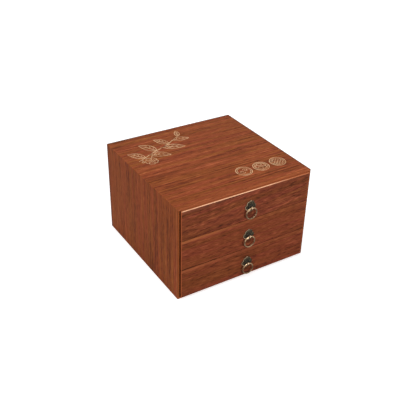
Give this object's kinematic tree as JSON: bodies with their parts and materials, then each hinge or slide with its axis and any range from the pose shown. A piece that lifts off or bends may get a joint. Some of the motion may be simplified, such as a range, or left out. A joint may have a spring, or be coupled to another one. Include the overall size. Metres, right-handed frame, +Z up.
{
  "type": "tea bag drawer box",
  "caption": "Low square wooden tabletop box with full-width drawers stacked one above another, each with a ring pull on a lobed plate.",
  "frame": {"origin": "middle of the case's underside, on the surface that the box stands on; the case is 230 mm wide and 225 mm deep about it, and the drawer fronts and rings stand in front of that", "axes": "+Z up, -Y towards the front with the drawers and their pulls, +X to the right as seen from the front"},
  "size_m": [0.23, 0.2346, 0.155],
  "materials": {
    "case_wood": "satin reddish-brown rosewood stain, straight grain",
    "front_wood": "satin reddish-brown rosewood stain, grain running left to right",
    "tray_wood": "the same wood, stained thinly inside",
    "plate_brass": "antique brass, dark greenish-black patina with rubbed edges",
    "ring_brass": "antique brass, rubbed bright on the rounds"
  },
  "bodies": {
    "case": {"case_top": "case_wood", "case_bottom": "case_wood", "case_left_side": "case_wood", "case_right_side": "case_wood", "case_back": "case_wood", "divider_1": "case_wood", "divider_2": "case_wood"},
    "drawer_1": {"drawer_1_front": "front_wood", "drawer_1_left_side": "tray_wood", "drawer_1_right_side": "tray_wood", "drawer_1_back": "tray_wood", "drawer_1_bottom": "tray_wood", "drawer_1_pull_plate": "plate_brass", "drawer_1_split_pin": "ring_brass"},
    "pull_ring_1": {"drawer_1_pull_ring": "ring_brass"},
    "drawer_2": {"drawer_2_front": "front_wood", "drawer_2_left_side": "tray_wood", "drawer_2_right_side": "tray_wood", "drawer_2_back": "tray_wood", "drawer_2_bottom": "tray_wood", "drawer_2_pull_plate": "plate_brass", "drawer_2_split_pin": "ring_brass"},
    "pull_ring_2": {"drawer_2_pull_ring": "ring_brass"},
    "drawer_3": {"drawer_3_front": "front_wood", "drawer_3_left_side": "tray_wood", "drawer_3_right_side": "tray_wood", "drawer_3_back": "tray_wood", "drawer_3_bottom": "tray_wood", "drawer_3_pull_plate": "plate_brass", "drawer_3_split_pin": "ring_brass"},
    "pull_ring_3": {"drawer_3_pull_ring": "ring_brass"}
  },
  "joints": [
    {"name": "drawer_1_slide", "type": "slide", "parent": "case", "child": "drawer_1", "axis": [0, -1, 0], "range_m": [0, 0.165]},
    {"name": "pull_ring_1_swing", "type": "hinge", "parent": "drawer_1", "child": "pull_ring_1", "pos_m": [0.004, -0.1197, 0.12479], "axis": [-1, 0, 0], "range_deg": [-8, 188]},
    {"name": "drawer_2_slide", "type": "slide", "parent": "case", "child": "drawer_2", "axis": [0, -1, 0], "range_m": [0, 0.165]},
    {"name": "pull_ring_2_swing", "type": "hinge", "parent": "drawer_2", "child": "pull_ring_2", "pos_m": [0.004, -0.1197, 0.075], "axis": [-1, 0, 0], "range_deg": [-8, 188]},
    {"name": "drawer_3_slide", "type": "slide", "parent": "case", "child": "drawer_3", "axis": [0, -1, 0], "range_m": [0, 0.165]},
    {"name": "pull_ring_3_swing", "type": "hinge", "parent": "drawer_3", "child": "pull_ring_3", "pos_m": [0.004, -0.1197, 0.02521], "axis": [-1, 0, 0], "range_deg": [-8, 188]}
  ]
}
